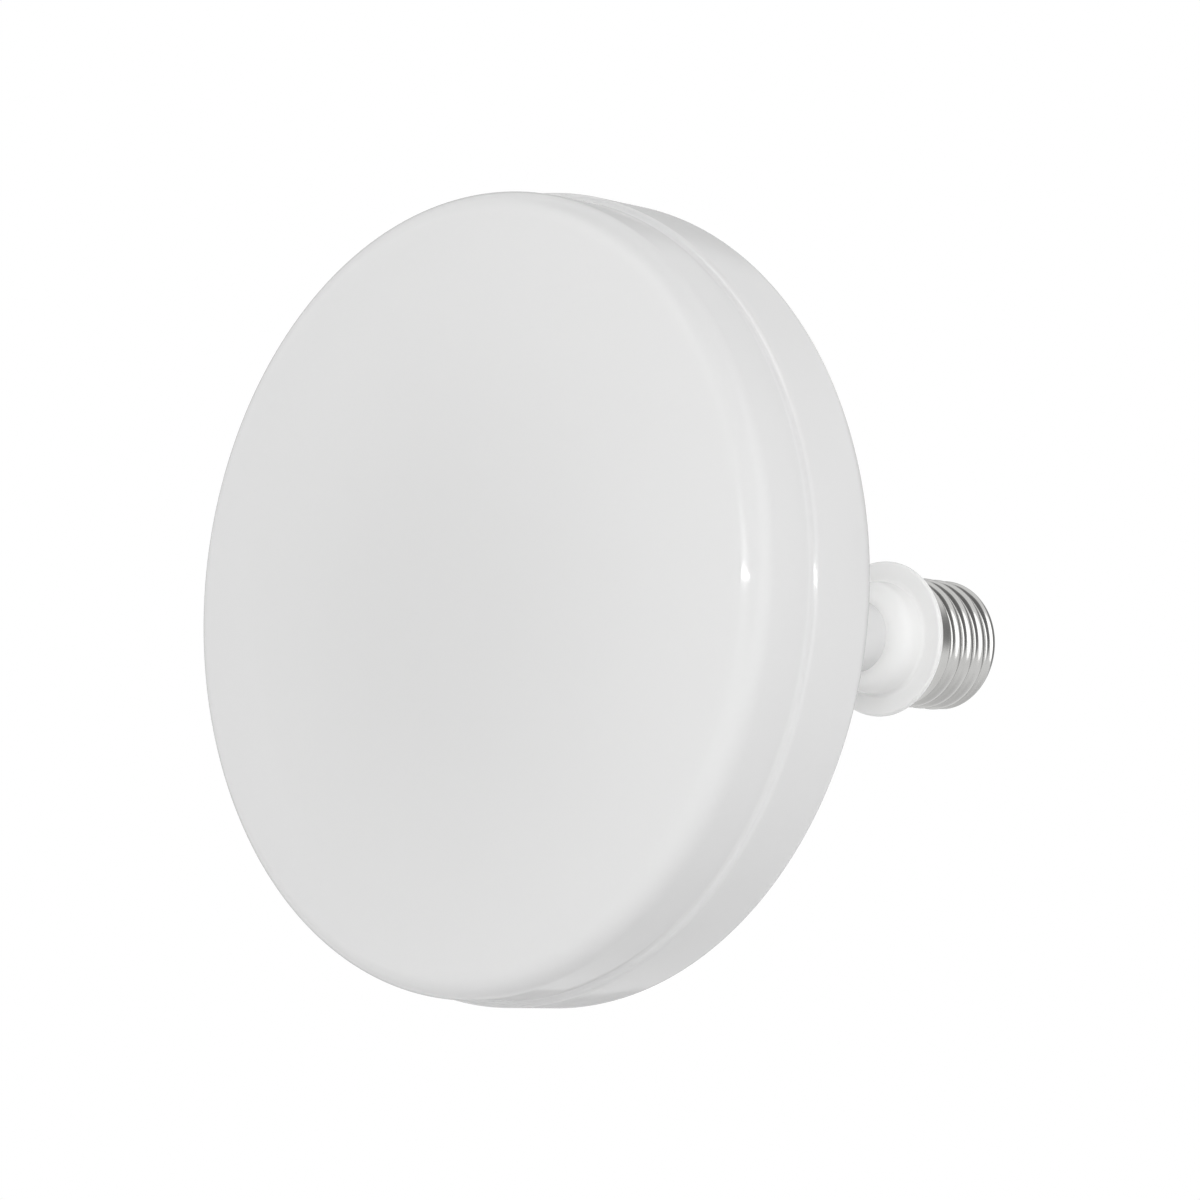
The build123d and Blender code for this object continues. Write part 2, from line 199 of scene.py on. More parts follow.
floor_fade.inputs["From Min"].default_value = floor_fade_start
floor_fade.inputs["From Max"].default_value = floor_fade_end
floor_seen = floor_tree.nodes.new("ShaderNodeMath")
floor_seen.operation = "MULTIPLY"
floor_glow = floor_tree.nodes.new("ShaderNodeEmission")
floor_glow.inputs["Strength"].default_value = surround_white
floor_mix = floor_tree.nodes.new("ShaderNodeMixShader")
floor_tree.links.new(floor_place.outputs["Object"], floor_distance.inputs[0])
floor_tree.links.new(floor_distance.outputs["Value"], floor_fade.inputs["Value"])
floor_tree.links.new(floor_fade.outputs["Result"], floor_seen.inputs[0])
floor_tree.links.new(seen_directly(floor_tree), floor_seen.inputs[1])
floor_tree.links.new(floor_seen.outputs[0], floor_mix.inputs[0])
floor_tree.links.new(floor_shader.outputs[0], floor_mix.inputs[1])
floor_tree.links.new(floor_glow.outputs[0], floor_mix.inputs[2])
floor_tree.links.new(floor_mix.outputs[0], floor_tree.nodes["Material Output"].inputs["Surface"])
floor.data.materials.append(floor_finish)


# Lamps
# Three softboxes, at the right, in front and behind, give the soft shading without showing in the
# gloss. A tube in front gives the rounded shoulder of the cover its bright dot. Each lamp has its
# azimuth and elevation, its width and height and its power.
lamp_distance = 1.5
softboxes = (
    ("side_softbox", (54, 12), (0.9, 1.3), 7.7),
    ("front_softbox", (-20, 10), (1.0, 1.0), 0.9),
    ("back_softbox", (178, 10), (1.2, 1.2), 7.0),
)


def area_lamp(name, place, size, power, roll=0.0):
    """A flat lamp that looks at the lip from a place given by azimuth and elevation."""
    lamp_data = bpy.data.lights.new(name, "AREA")
    lamp_data.shape = "RECTANGLE"
    lamp_data.size, lamp_data.size_y = size
    lamp_data.energy = power
    lamp = bpy.data.objects.new(name, lamp_data)
    way = direction(*place)
    lamp.location = lip_centre + way * lamp_distance
    lamp.rotation_euler = way.to_track_quat("Z", "Y").to_euler()
    lamp.rotation_euler.rotate_axis("Z", math.radians(roll))
    lamp.visible_camera = False
    bpy.context.scene.collection.objects.link(lamp)
    return lamp


for name, place, size, power in softboxes:
    softbox = area_lamp(name, place, size, power)
    softbox.visible_glossy = False
area_lamp("front_tube", place=(7, 5.0), size=(0.92, 0.013), power=1.5, roll=-3.1)


# Panels in the gloss
# White and grey panels of the studio with soft edges, which only show in gloss: a bright one at the
# right, a low one in front, grey ones where the room is darker and two small ones close behind the cap.
# Each has the point that it faces, its distance from it, azimuth and elevation, half its width and
# height as angles, the share of it that is even, and its level.
cap_centre = Vector((0, 0.008, 0))
panel_corners = [(-1, -1, 0), (1, -1, 0), (1, 1, 0), (-1, 1, 0)]
panels = (
    ("side_panel", lip_centre, 1.9, (95, 16), (41, 47), 0.2, 1.25),
    ("front_panel", lip_centre, 1.9, (2, 7.6), (17, 5.2), 0.5, 2.5),
    ("camera_shade", lip_centre, 1.9, (40, 32), (38, 55), 0.6, 0.2),
    ("overhead_shade", lip_centre, 1.9, (-30, 72), (28, 24), 0.4, 0.25),
    ("face_shade", lip_centre, 1.9, (-44, 5), (19, 19), 0.1, 0.2),
    ("rear_shade", cap_centre, 0.35, (165, 10), (44, 30), 0.5, 0.26),
    ("far_shade", lip_centre, 1.9, (224, 8), (45, 42), 0.6, 0.58),
    ("cap_shade", cap_centre, 0.35, (224, 2), (22, 14), 0.5, 0.25),
)
for name, target, distance, place, spread, plateau, level in panels:
    panel = new_piece(name, panel_corners, [(0, 1, 2, 3)], smooth=False)
    way = direction(*place)
    width, height = (distance * math.tan(math.radians(angle)) for angle in spread)
    facing = way.to_track_quat("Z", "Y").to_matrix().to_4x4()
    panel.matrix_world = (
        Matrix.Translation(target + way * distance) @ facing @ Matrix.Diagonal((width, height, 1, 1)))
    panel_finish = bpy.data.materials.new(name)
    panel_finish.use_nodes = True
    panel_tree = panel_finish.node_tree
    panel_tree.nodes.remove(panel_tree.nodes["Principled BSDF"])
    panel_place = panel_tree.nodes.new("ShaderNodeTexCoord")
    panel_reach = panel_tree.nodes.new("ShaderNodeVectorMath")
    panel_reach.operation = "LENGTH"
    panel_edge = panel_tree.nodes.new("ShaderNodeMapRange")
    panel_edge.interpolation_type = "SMOOTHSTEP"
    panel_edge.inputs["From Min"].default_value = 1.0
    panel_edge.inputs["From Max"].default_value = plateau
    panel_clear = panel_tree.nodes.new("ShaderNodeBsdfTransparent")
    panel_glow = panel_tree.nodes.new("ShaderNodeEmission")
    panel_glow.inputs["Strength"].default_value = level
    panel_mix = panel_tree.nodes.new("ShaderNodeMixShader")
    panel_tree.links.new(panel_place.outputs["Object"], panel_reach.inputs[0])
    panel_tree.links.new(panel_reach.outputs["Value"], panel_edge.inputs["Value"])
    panel_tree.links.new(panel_edge.outputs["Result"], panel_mix.inputs[0])
    panel_tree.links.new(panel_clear.outputs[0], panel_mix.inputs[1])
    panel_tree.links.new(panel_glow.outputs[0], panel_mix.inputs[2])
    panel_tree.links.new(panel_mix.outputs[0], panel_tree.nodes["Material Output"].inputs["Surface"])
    panel.data.materials.append(panel_finish)
    panel.visible_camera = False
    panel.visible_diffuse = False
    panel.visible_transmission = False
    panel.visible_shadow = False


# Screw shell
# The cap's side contact, drawn from thin sheet, nickel plated, with a rolled round thread. It sits
# on the collar's stub against the flange, and its nose is turned in over the insulator.
thread_pitch = 0.003629
thread_crest = 0.0131
crest_arc = 0.0017
root_arc = 0.0006
flank_turn = math.asin(thread_pitch / 2 / (crest_arc + root_arc))
thread_root = thread_crest - (crest_arc + root_arc) * (1 - math.cos(flank_turn))
crest_reach = crest_arc * math.sin(flank_turn)
crest_station = 0.00341
skirt_radius = 0.01292
skirt_length = 0.0047
thread_fade = 0.0016
nose_start = 0.0178
nose_radius = 0.0099
shell_bore = 0.01175
shell_wall = 0.00045
shell_start, shell_end = (corner.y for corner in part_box("screw_shell"))
shell_turns = 192
shell_step = 0.00008
shell_crease = math.radians(50)
nickel_colour = (0.60, 0.60, 0.59, 1)
nickel_shade = (0.50, 0.495, 0.485, 1)
nickel_roughness = (0.10, 0.24)
nickel_relief = (0.00001, 0.25)


def blend_between(low, high, value):
    """A smooth share from 0 to 1 as value goes from low to high."""
    share = min(1.0, max(0.0, (value - low) / (high - low)))
    return share * share * (3 - 2 * share)


def thread_radius(turn, station):
    """The rolled thread's radius: broad round crests that run into narrow round roots."""
    phase = (station - crest_station) / thread_pitch - turn / (2 * math.pi)
    along = abs((phase + 0.5) % 1.0 - 0.5) * thread_pitch
    if along < crest_reach:
        return thread_crest - crest_arc + math.sqrt(crest_arc**2 - along**2)
    beyond = thread_pitch / 2 - along
    return thread_root + root_arc - math.sqrt(root_arc**2 - beyond**2)


def shell_outside(turn, station):
    """The shell's outer radius: plain skirt, thread, and a nose rounded in towards the tip."""
    rolled = blend_between(skirt_length, skirt_length + thread_fade, station)
    radius = skirt_radius + (thread_radius(turn, station) - skirt_radius) * rolled
    if station > nose_start:
        share = (station - nose_start) / (shell_end - nose_start)
        arch = math.sqrt(max(0.0, 1 - share**2))
        radius = min(radius, nose_radius + (thread_crest - nose_radius) * arch)
    return radius


def round_rings(rings, steps, close_loop):
    """Faces between rings of corners that follow each other, as a tube or as a closed loop of rings."""
    faces = []
    count = rings if close_loop else rings - 1
    for ring in range(count):
        low = ring * steps
        high = (ring + 1) % rings * steps
        for step in range(steps):
            after = (step + 1) % steps
            faces.append((low + step, low + after, high + after, high + step))
    return faces


shell_corners = []
shell_rings = 0
outer_count = round((shell_end - shell_start) / shell_step)
for ring in range(outer_count + 1):
    station = shell_start + (shell_end - shell_start) * ring / outer_count
    for step in range(shell_turns):
        turn = 2 * math.pi * step / shell_turns
        radius = shell_outside(turn, station)
        shell_corners.append((radius * math.sin(turn), station, radius * math.cos(turn)))
    shell_rings += 1
for radius, station in ((nose_radius - shell_wall, shell_end),
                        (nose_radius - shell_wall, shell_end - shell_wall),
                        (shell_bore, nose_start),
                        (shell_bore, shell_start)):
    for step in range(shell_turns):
        turn = 2 * math.pi * step / shell_turns
        shell_corners.append((radius * math.sin(turn), station, radius * math.cos(turn)))
    shell_rings += 1
shell = new_piece("rolled_shell", shell_corners, round_rings(shell_rings, shell_turns, True))
shell.data.set_sharp_from_angle(angle=shell_crease)


def new_group(name, inputs, outputs):
    """An empty shader node group with named number inputs and named outputs of a given kind."""
    group = bpy.data.node_groups.new(name, "ShaderNodeTree")
    for label, value in inputs:
        socket = group.interface.new_socket(label, in_out="INPUT", socket_type="NodeSocketFloat")
        socket.default_value = value
    for label, kind in outputs:
        group.interface.new_socket(label, in_out="OUTPUT", socket_type=kind)
    return group, group.nodes.new("NodeGroupInput"), group.nodes.new("NodeGroupOutput")


# The lines that drawing and rolling leave round a metal piece, stretched about the lamp's axis,
# with a slow change of tone.
line_spread = 30.0
line_detail = 3.0
drawn_lines, drawn_in, drawn_out = new_group(
    "drawn_lines",
    (("Line Density", 3000.0), ("Cloud Density", 120.0)),
    (("Lines", "NodeSocketFloat"), ("Clouds", "NodeSocketFloat")),
)
drawn_place = drawn_lines.nodes.new("ShaderNodeTexCoord")
drawn_split = drawn_lines.nodes.new("ShaderNodeSeparateXYZ")
drawn_along = drawn_lines.nodes.new("ShaderNodeMath")
drawn_along.operation = "MULTIPLY"
drawn_across_x = drawn_lines.nodes.new("ShaderNodeMath")
drawn_across_x.operation = "MULTIPLY"
drawn_across_x.inputs[1].default_value = line_spread
drawn_across_z = drawn_lines.nodes.new("ShaderNodeMath")
drawn_across_z.operation = "MULTIPLY"
drawn_across_z.inputs[1].default_value = line_spread
drawn_join = drawn_lines.nodes.new("ShaderNodeCombineXYZ")
drawn_noise = drawn_lines.nodes.new("ShaderNodeTexNoise")
drawn_noise.inputs["Scale"].default_value = 1.0
drawn_noise.inputs["Detail"].default_value = line_detail
drawn_clouds = drawn_lines.nodes.new("ShaderNodeTexNoise")
drawn_clouds.inputs["Detail"].default_value = line_detail
drawn_lines.links.new(drawn_place.outputs["Object"], drawn_split.inputs[0])
drawn_lines.links.new(drawn_split.outputs["Y"], drawn_along.inputs[0])
drawn_lines.links.new(drawn_in.outputs["Line Density"], drawn_along.inputs[1])
drawn_lines.links.new(drawn_split.outputs["X"], drawn_across_x.inputs[0])
drawn_lines.links.new(drawn_split.outputs["Z"], drawn_across_z.inputs[0])
drawn_lines.links.new(drawn_across_x.outputs[0], drawn_join.inputs["X"])
drawn_lines.links.new(drawn_along.outputs[0], drawn_join.inputs["Y"])
drawn_lines.links.new(drawn_across_z.outputs[0], drawn_join.inputs["Z"])
drawn_lines.links.new(drawn_join.outputs[0], drawn_noise.inputs["Vector"])
drawn_lines.links.new(drawn_noise.outputs["Fac"], drawn_out.inputs["Lines"])
drawn_lines.links.new(drawn_place.outputs["Object"], drawn_clouds.inputs["Vector"])
drawn_lines.links.new(drawn_in.outputs["Cloud Density"], drawn_clouds.inputs["Scale"])
drawn_lines.links.new(drawn_clouds.outputs["Fac"], drawn_out.inputs["Clouds"])


def new_finish(name):
    """A material with its tree and its main shader."""
    finish = bpy.data.materials.new(name)
    finish.use_nodes = True
    return finish, finish.node_tree, finish.node_tree.nodes["Principled BSDF"]


def place_group(tree, group, **values):
    """A group placed in a material's tree, with its number inputs set."""
    node = tree.nodes.new("ShaderNodeGroup")
    node.node_tree = group
    for label, value in values.items():
        node.inputs[label.replace("_", " ")].default_value = value
    return node


def colour_between(tree, share, first, second, to_socket):
    """Mixes two colours by an output that changes over the surface, into a colour socket."""
    mix = tree.nodes.new("ShaderNodeMix")
    mix.data_type = "RGBA"
    mix.inputs["A"].default_value = first
    mix.inputs["B"].default_value = second
    tree.links.new(share, mix.inputs["Factor"])
    tree.links.new(mix.outputs["Result"], to_socket)


def value_between(tree, share, values, to_socket):
    """Maps an output from 0 to 1 onto two values, into a number socket."""
    reach = tree.nodes.new("ShaderNodeMapRange")
    reach.inputs["To Min"].default_value, reach.inputs["To Max"].default_value = values
    tree.links.new(share, reach.inputs["Value"])
    tree.links.new(reach.outputs["Result"], to_socket)


def relief(tree, height, depth, shader):
    """Fine relief from a height output, with its distance and strength given as depth."""
    bump = tree.nodes.new("ShaderNodeBump")
    bump.inputs["Distance"].default_value, bump.inputs["Strength"].default_value = depth
    tree.links.new(height, bump.inputs["Height"])
    tree.links.new(bump.outputs["Normal"], shader.inputs["Normal"])


nickel, nickel_tree, nickel_shader = new_finish("nickel_plate")
nickel_shader.inputs["Metallic"].default_value = 1.0
nickel_lines = place_group(nickel_tree, drawn_lines, Line_Density=2600.0, Cloud_Density=160.0)
colour_between(nickel_tree, nickel_lines.outputs["Clouds"], nickel_shade, nickel_colour,
               nickel_shader.inputs["Base Color"])
value_between(nickel_tree, nickel_lines.outputs["Lines"], nickel_roughness,
              nickel_shader.inputs["Roughness"])
relief(nickel_tree, nickel_lines.outputs["Lines"], nickel_relief, nickel_shader)
shell.data.materials.append(nickel)
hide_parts("screw_shell")
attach(shell, "cap_and_neck")


def light_only(lamp, *pieces):
    """Keeps a lamp's light to some pieces."""
    receivers = bpy.data.collections.new(lamp.name + "_receivers")
    for piece in pieces:
        receivers.objects.link(piece)
    lamp.light_linking.receiver_collection = receivers


# The broad lamp at the right that gives each turn of the thread its white streak, and shows only in
# the gloss.
thread_softbox = area_lamp("thread_softbox", place=(95, 7), size=(1.4, 2.26), power=7.5)
thread_softbox.data.shape = "ELLIPSE"
thread_softbox.visible_diffuse = False
light_only(thread_softbox, shell)


# Cap insulator
# The ring between shell and tip, moulded in dark glass-like plastic and held by the shell's nose.
# Its surface has the flow marks of a pressed piece.
insulator_dark = (0.012, 0.012, 0.014, 1)
insulator_light = (0.035, 0.035, 0.038, 1)
insulator_roughness = (0.12, 0.3)
insulator_relief = (0.00004, 0.3)
flow_density = 420.0
flow_detail = 5.0
flow_twist = 1.2


def dress(node, finish):
    """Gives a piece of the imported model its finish."""
    mesh = nodes[node].data
    mesh.materials.clear()
    mesh.materials.append(finish)


insulator, insulator_tree, insulator_shader = new_finish("insulator_black")
insulator_flow = insulator_tree.nodes.new("ShaderNodeTexNoise")
insulator_flow.inputs["Scale"].default_value = flow_density
insulator_flow.inputs["Detail"].default_value = flow_detail
insulator_flow.inputs["Distortion"].default_value = flow_twist
insulator_place = insulator_tree.nodes.new("ShaderNodeTexCoord")
insulator_tree.links.new(insulator_place.outputs["Object"], insulator_flow.inputs["Vector"])
colour_between(insulator_tree, insulator_flow.outputs["Fac"], insulator_dark, insulator_light,
               insulator_shader.inputs["Base Color"])
value_between(insulator_tree, insulator_flow.outputs["Fac"], insulator_roughness,
              insulator_shader.inputs["Roughness"])
relief(insulator_tree, insulator_flow.outputs["Fac"], insulator_relief, insulator_shader)
dress("cap_insulator", insulator)


# Centre contact
# The tip: a brass button with a rivet shank through the insulator, pressed in place. Its face is
# lightly rubbed from use in a lampholder.
brass_bright = (0.62, 0.47, 0.22, 1)
brass_dull = (0.40, 0.29, 0.13, 1)
brass_roughness = (0.18, 0.42)
brass_relief = (0.00003, 0.3)
brass, brass_tree, brass_shader = new_finish("contact_brass")
brass_shader.inputs["Metallic"].default_value = 1.0
brass_lines = place_group(brass_tree, drawn_lines, Line_Density=1800.0, Cloud_Density=700.0)
colour_between(brass_tree, brass_lines.outputs["Clouds"], brass_dull, brass_bright,
               brass_shader.inputs["Base Color"])
value_between(brass_tree, brass_lines.outputs["Clouds"], brass_roughness,
              brass_shader.inputs["Roughness"])
relief(brass_tree, brass_lines.outputs["Clouds"], brass_relief, brass_shader)
dress("centre_contact", brass)


# Cap collar
# The white collar: a rounded cup round the neck's end, a thin flange under the shell and a stub inside
# it, moulded in one piece from plastic. It is pushed on to the neck.
collar_low, collar_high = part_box("cap_collar")
cup_front = collar_low.y
stub_end = collar_high.y
flange_radius = collar_high.x
flange_front = -0.0014
flange_round = 0.0005
cup_radius = 0.0114
cup_taper = 0.0005
cup_round = 0.0039
cup_fillet = 0.0007
stub_radius = 0.01165
stub_bore = 0.003
spigot_bore = 0.006
spigot_floor = 0.005
turned_steps = 256
crisp_edge = math.radians(30)
collar_white = (0.885, 0.885, 0.88, 1)
collar_dim = (0.86, 0.86, 0.855, 1)
collar_roughness = (0.14, 0.24)
collar_grain = 0.000008


def rounded(corners, arc_steps=12):
    """An outline from corners (radius, station, rounding), with each rounding drawn as an arc."""
    outline = []
    for number, (radius, station, rounding) in enumerate(corners):
        corner = Vector((radius, station))
        if rounding == 0:
            outline.append(corner)
            continue
        before = (Vector(corners[number - 1][:2]) - corner).normalized()
        after = (Vector(corners[(number + 1) % len(corners)][:2]) - corner).normalized()
        half_turn = before.angle(after) / 2
        centre = corner + (before + after).normalized() * rounding / math.sin(half_turn)
        first = (corner + before * rounding / math.tan(half_turn) - centre).normalized()
        last = (corner + after * rounding / math.tan(half_turn) - centre).normalized()
        for step in range(arc_steps + 1):
            outline.append(centre + first.slerp(last, step / arc_steps) * rounding)
    return outline


def turned_piece(name, outline, steps=turned_steps, x=0.0, z=0.0):
    """A mesh turned about the lamp's axis, or one beside it, from a closed outline (radius, station)."""
    corners = []
    rings = []
    for radius, station in outline:
        start = len(corners)
        if radius == 0:
            corners.append((x, station, z))
            rings.append([start] * steps)
            continue
        for step in range(steps):
            turn = 2 * math.pi * step / steps
            corners.append((x + radius * math.sin(turn), station, z + radius * math.cos(turn)))
        rings.append(list(range(start, start + steps)))
    faces = []
    for ring, following in zip(rings, rings[1:] + rings[:1]):
        for step in range(steps):
            after = (step + 1) % steps
            face = tuple(dict.fromkeys((ring[step], ring[after], following[after], following[step])))
            if len(face) > 2:
                faces.append(face)
    piece = new_piece(name, corners, faces)
    piece.data.set_sharp_from_angle(angle=crisp_edge)
    return piece


collar = turned_piece("moulded_collar", rounded((
    (spigot_bore, cup_front, 0),
    (cup_radius - cup_taper, cup_front, cup_round),
    (cup_radius, flange_front, cup_fillet),
    (flange_radius, flange_front, flange_round),
    (flange_radius, 0, flange_round),
    (stub_radius, 0, 0),
    (stub_radius, stub_end, 0),
    (stub_bore, stub_end, 0),
    (stub_bore, spigot_floor, 0),
    (spigot_bore, spigot_floor, 0),
)))

# The skin of a moulded plastic piece: a fine even grain, slow changes of tone where the plastic
# flowed, and a few small specks of dust.
speck_size = 0.016
speck_softness = 0.008
speck_grey = (0.30, 0.30, 0.30, 1)
grain_strength = 0.35
moulded_skin, skin_in, skin_out = new_group(
    "moulded_skin",
    (("Grain Density", 1500.0), ("Flow Density", 22.0), ("Speck Density", 90.0), ("Speck Share", 0.02)),
    (("Grain", "NodeSocketFloat"), ("Flow", "NodeSocketFloat"), ("Specks", "NodeSocketFloat")),
)
skin_place = moulded_skin.nodes.new("ShaderNodeTexCoord")
skin_grain = moulded_skin.nodes.new("ShaderNodeTexNoise")
skin_grain.inputs["Detail"].default_value = 2.0
skin_flow = moulded_skin.nodes.new("ShaderNodeTexNoise")
skin_flow.inputs["Detail"].default_value = 3.0
skin_cells = moulded_skin.nodes.new("ShaderNodeTexVoronoi")
skin_dot = moulded_skin.nodes.new("ShaderNodeMapRange")
skin_dot.inputs["From Min"].default_value = speck_size + speck_softness
skin_dot.inputs["From Max"].default_value = speck_size
skin_draw = moulded_skin.nodes.new("ShaderNodeSeparateColor")
skin_rare = moulded_skin.nodes.new("ShaderNodeMath")
skin_rare.operation = "LESS_THAN"
skin_specks = moulded_skin.nodes.new("ShaderNodeMath")
skin_specks.operation = "MULTIPLY"
for texture, density in ((skin_grain, "Grain Density"), (skin_flow, "Flow Density"),
                         (skin_cells, "Speck Density")):
    moulded_skin.links.new(skin_place.outputs["Object"], texture.inputs["Vector"])
    moulded_skin.links.new(skin_in.outputs[density], texture.inputs["Scale"])
moulded_skin.links.new(skin_cells.outputs["Distance"], skin_dot.inputs["Value"])
moulded_skin.links.new(skin_cells.outputs["Color"], skin_draw.inputs["Color"])
moulded_skin.links.new(skin_draw.outputs["Red"], skin_rare.inputs[0])
moulded_skin.links.new(skin_in.outputs["Speck Share"], skin_rare.inputs[1])
moulded_skin.links.new(skin_dot.outputs["Result"], skin_specks.inputs[0])
moulded_skin.links.new(skin_rare.outputs[0], skin_specks.inputs[1])
moulded_skin.links.new(skin_grain.outputs["Fac"], skin_out.inputs["Grain"])
moulded_skin.links.new(skin_flow.outputs["Fac"], skin_out.inputs["Flow"])
moulded_skin.links.new(skin_specks.outputs[0], skin_out.inputs["Specks"])


def moulded_plastic(name, light, dim, roughness, grain_depth, **skin):
    """A moulded plastic finish: two close tones, dust specks, grain in its gloss and relief."""
    finish, tree, shader = new_finish(name)
    node = place_group(tree, moulded_skin, **skin)
    dusted = tree.nodes.new("ShaderNodeMix")
    dusted.data_type = "RGBA"
    dusted.inputs["B"].default_value = speck_grey
    colour_between(tree, node.outputs["Flow"], dim, light, dusted.inputs["A"])
    tree.links.new(node.outputs["Specks"], dusted.inputs["Factor"])
    tree.links.new(dusted.outputs["Result"], shader.inputs["Base Color"])
    value_between(tree, node.outputs["Grain"], roughness, shader.inputs["Roughness"])
    relief(tree, node.outputs["Grain"], (grain_depth, grain_strength), shader)
    return finish


collar_plastic = moulded_plastic(
    "white_collar", collar_white, collar_dim, collar_roughness, collar_grain, Grain_Density=2400.0)
collar.data.materials.append(collar_plastic)
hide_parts("cap_collar")
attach(collar, "cap_and_neck")


# Neck arm
# The neck between collar and hinge: a white moulded tube that ends in a slotted tongue, which turns
# between the turret's ears. Its plastic is a little greyer and glossier than the collar's.
housing_white = (0.755, 0.755, 0.755, 1)
housing_dim = (0.73, 0.73, 0.73, 1)
housing_roughness = (0.08, 0.15)
housing_grain = 0.000005
housing_plastic = moulded_plastic(
    "white_housing", housing_white, housing_dim, housing_roughness, housing_grain, Grain_Density=1800.0)
dress("neck_arm", housing_plastic)

# The high softbox at the right that reaches the collar and the neck past the disc's edge.
neck_softbox = area_lamp("neck_softbox", place=(62, 38), size=(0.5, 0.5), power=1.8)
neck_softbox.visible_glossy = False
light_only(neck_softbox, collar, nodes["neck_arm"])


# Core wires
# The two cores from the lead's end to the cap, one to the tip's shank and one to the shell, and the
# two wires from the driver to the light-emitting board. Each has a thin plastic cover with a slight
# ripple from its strands.
wire_light = (0.55, 0.05, 0.04, 1)
wire_dim = (0.40, 0.03, 0.025, 1)
wire_roughness = (0.35, 0.5)
wire_ripple = 0.00003
wire_cover = moulded_plastic(
    "wire_cover", wire_light, wire_dim, wire_roughness, wire_ripple, Grain_Density=900.0)
for wire in ("live_wire", "neutral_wire", "led_leads"):
    dress(wire, wire_cover)


# Supply lead
# The round two-core lead that crosses the hinge from the driver board to the collar, in a soft white
# plastic jacket. It is held at both ends.
lead_low, lead_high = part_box("supply_lead")
lead_radius = lead_high.x
lead_steps = 32
lead_ring_gap = 0.001
lead_round = 0.0004
pivot = Vector(frame["joints"][0]["pos_m"])
lead_white = (0.70, 0.70, 0.69, 1)
lead_dim = (0.60, 0.60, 0.59, 1)
lead_roughness = (0.4, 0.55)
lead_grain = 0.00003
lead_corners = []
lead_stations = [lead_low.y]
while lead_stations[-1] + lead_ring_gap < lead_high.y:
    lead_stations.append(lead_stations[-1] + lead_ring_gap)
lead_stations.append(lead_high.y)
lead_rings = [(lead_radius - lead_round, lead_low.y)]
lead_rings += [(lead_radius, station) for station in lead_stations[1:-1]]
lead_rings += [(lead_radius - lead_round, lead_high.y)]
for radius, station in lead_rings:
    for step in range(lead_steps):
        turn = 2 * math.pi * step / lead_steps
        lead_corners.append((radius * math.sin(turn), station, radius * math.cos(turn)))
lead_faces = round_rings(len(lead_rings), lead_steps, False)
lead_faces.append(tuple(reversed(range(lead_steps))))
lead_faces.append(tuple(range(len(lead_corners) - lead_steps, len(lead_corners))))
lead = new_piece("supply_jacket", lead_corners, lead_faces)
lead_cover = moulded_plastic(
    "lead_cover", lead_white, lead_dim, lead_roughness, lead_grain, Grain_Density=1200.0)
lead.data.materials.append(lead_cover)
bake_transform(lead)
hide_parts("supply_lead")


# Hinge screws
# The two pivot screws: low round heads with a hexagon socket, turned from zinc-plated steel. Each
# goes through one ear and one cheek of the tongue into its nut.
screw_low, screw_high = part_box("hinge_screws")
screw_head_radius = (screw_high.y - screw_low.y) / 2
screw_head_height = 0.0022
screw_shank_radius = 0.002
screw_shank_inset = 0.0022
screw_shank_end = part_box("hinge_nuts")[1].x - screw_shank_inset
screw_dome = 0.0007
screw_dome_shape = ((0.93, 0.45), (0.80, 0.15), (0.60, 0.0))
screw_socket = 0.0013
screw_socket_depth = 0.0012
screw_chamfer = 0.0003
screw_steps = 60
screw_crease = math.radians(35)
zinc_bright = (0.50, 0.51, 0.53, 1)
zinc_dull = (0.36, 0.37, 0.39, 1)
zinc_roughness = (0.22, 0.42)
zinc_relief = (0.00001, 0.3)


def hexagon_radius(across, turn):
    """The radius of a hexagon with that half width across its flats, in the way of a turn."""
    sixth = math.pi / 3
    return across / math.cos((turn % sixth) - sixth / 2)


def screw_ring(radius, station, side, socket=False):
    """One ring of corners round the hinge axis."""
    ring = []
    for step in range(screw_steps):
        turn = 2 * math.pi * step / screw_steps
        reach = hexagon_radius(radius, turn) if socket else radius
        ring.append((side * station, pivot.y + reach * math.cos(turn), pivot.z + reach * math.sin(turn)))
    return ring


